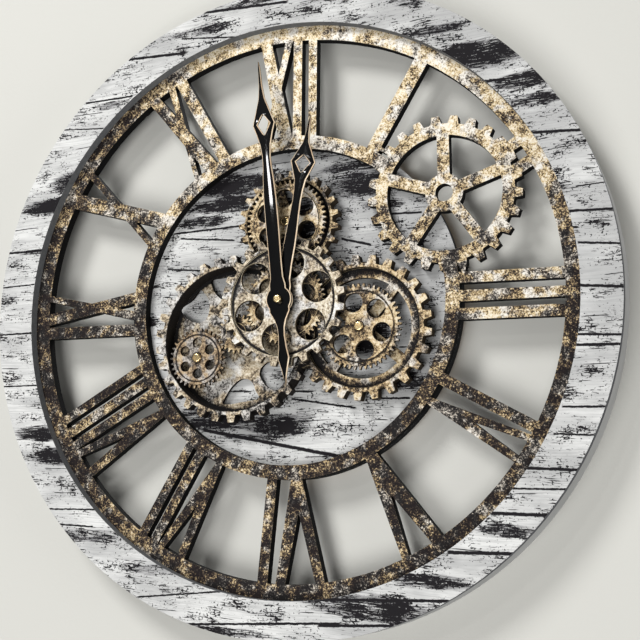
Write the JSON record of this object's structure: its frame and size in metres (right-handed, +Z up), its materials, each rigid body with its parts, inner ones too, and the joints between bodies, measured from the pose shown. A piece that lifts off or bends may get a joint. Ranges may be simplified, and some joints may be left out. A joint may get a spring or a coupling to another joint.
{
  "type": "wall clock",
  "caption": "Round wooden wall clock with cut-through roman dial, printed rim, black hands and a train of turning gears driven from behind.",
  "frame": {"origin": "on the hands' axis, in the plane of the wall behind the clock", "axes": "+Z up towards twelve, +X to the viewer's right, -Y out from the wall towards the viewer"},
  "size_m": [0.5399, 0.056, 0.54],
  "materials": {
    "rim_print": "printed barn board, satin",
    "rim_side": "painted grey, matt",
    "dial_finish": "dark brown with sponged gold and silver, matt",
    "disc_print": "printed barn board, satin",
    "centre_gear_finish": "worn silver and cream over black",
    "bronze_gear_finish": "worn bronze and cream over black",
    "plate_finish": "worn bronze over black",
    "hand_finish": "gloss black",
    "brass": "polished",
    "steel": "zinc plated",
    "case_plastic": "moulded, fine texture",
    "wheel_plastic": "moulded",
    "cell_sleeve": "printed sleeve",
    "copper": "enamelled wire",
    "circuit": "lacquered"
  },
  "bodies": {
    "clock_frame": {"rim_board": "rim_print", "rim_hoop": "rim_side", "dial_panel": "dial_finish", "centre_disc": "disc_print", "dial_screws": "steel", "disc_screws": "steel", "plate_screws": "steel", "hanger_plate": "steel", "hanger_screws": "steel", "movement_case": "case_plastic", "movement_cover": "case_plastic", "movement_cell": "cell_sleeve", "movement_contacts": "steel", "movement_coil": "copper", "movement_circuit": "circuit", "neck_nut": "brass", "ring_nut": "brass", "top_post": "brass", "top_cap": "brass", "right_bush": "brass", "left_gear_plate": "plate_finish", "idler_post": "brass", "small_post": "brass", "small_cap": "brass", "drive_case": "case_plastic", "drive_cover": "case_plastic", "drive_cell": "cell_sleeve", "drive_contacts": "steel", "gear_motor": "steel", "switch_body": "case_plastic"},
    "centre_gear": {"centre_sleeve": "brass", "centre_fine_gear": "bronze_gear_finish", "centre_ring_gear": "centre_gear_finish"},
    "top_gear": {"top_ring_gear": "bronze_gear_finish", "top_fine_gear": "bronze_gear_finish"},
    "right_gear": {"right_ring_gear": "bronze_gear_finish", "right_fine_gear": "bronze_gear_finish", "right_axle": "brass", "right_cap": "brass", "drive_wheel": "wheel_plastic"},
    "idler": {"idler_gear": "bronze_gear_finish"},
    "small_wheel": {"small_gear": "bronze_gear_finish"},
    "drive_pinion_body": {"drive_pinion": "brass"},
    "minute": {"minute_arbor": "steel", "minute_hand": "hand_finish", "hand_nut": "brass"},
    "hour": {"hour_wheel": "wheel_plastic", "hour_tube": "brass", "hour_hand": "hand_finish"},
    "motion": {"motion_wheel": "wheel_plastic", "setting_knob": "wheel_plastic"},
    "switch": {"switch_slider": "case_plastic"}
  },
  "joints": [
    {"name": "centre_gear_spin", "type": "hinge", "parent": "clock_frame", "child": "centre_gear", "pos_m": [0, -0.036, 0], "axis": [0, 1, 0], "continuous": true},
    {"name": "top_gear_spin", "type": "hinge", "parent": "clock_frame", "child": "top_gear", "pos_m": [0.00098, -0.03, 0.06719], "axis": [0, 1, 0], "continuous": true},
    {"name": "right_gear_spin", "type": "hinge", "parent": "clock_frame", "child": "right_gear", "pos_m": [0.06304, -0.03, -0.02328], "axis": [0, 1, 0], "continuous": true},
    {"name": "idler_spin", "type": "hinge", "parent": "clock_frame", "child": "idler", "pos_m": [-0.0431, -0.035, -0.02332], "axis": [0, 1, 0], "continuous": true},
    {"name": "small_gear_spin", "type": "hinge", "parent": "clock_frame", "child": "small_wheel", "pos_m": [-0.07757, -0.035, -0.04198], "axis": [0, 1, 0], "continuous": true},
    {"name": "drive_pinion_spin", "type": "hinge", "parent": "clock_frame", "child": "drive_pinion_body", "pos_m": [0.08036, -0.012, -0.01328], "axis": [0, 1, 0], "continuous": true},
    {"name": "minute_hand_spin", "type": "hinge", "parent": "clock_frame", "child": "minute", "pos_m": [0, -0.04, 0], "axis": [0, 1, 0], "continuous": true},
    {"name": "hour_hand_spin", "type": "hinge", "parent": "clock_frame", "child": "hour", "pos_m": [0, -0.04, 0], "axis": [0, 1, 0], "continuous": true},
    {"name": "motion_wheel_spin", "type": "hinge", "parent": "clock_frame", "child": "motion", "pos_m": [-0.00848, -0.008, 0.00848], "axis": [0, 1, 0], "continuous": true},
    {"name": "switch_slide", "type": "slide", "parent": "clock_frame", "child": "switch", "axis": [1, 0, 0], "range_m": [0, 0.002]}
  ],
  "couplings": [
    {"joint": "top_gear_spin", "follows": "centre_gear_spin", "ratio": -1},
    {"joint": "right_gear_spin", "follows": "centre_gear_spin", "ratio": -1},
    {"joint": "idler_spin", "follows": "centre_gear_spin", "ratio": -2.1818},
    {"joint": "small_gear_spin", "follows": "centre_gear_spin", "ratio": 1.4118},
    {"joint": "drive_pinion_spin", "follows": "centre_gear_spin", "ratio": 4},
    {"joint": "hour_hand_spin", "follows": "minute_hand_spin", "ratio": 0.083333},
    {"joint": "motion_wheel_spin", "follows": "minute_hand_spin", "ratio": -0.33333}
  ]
}
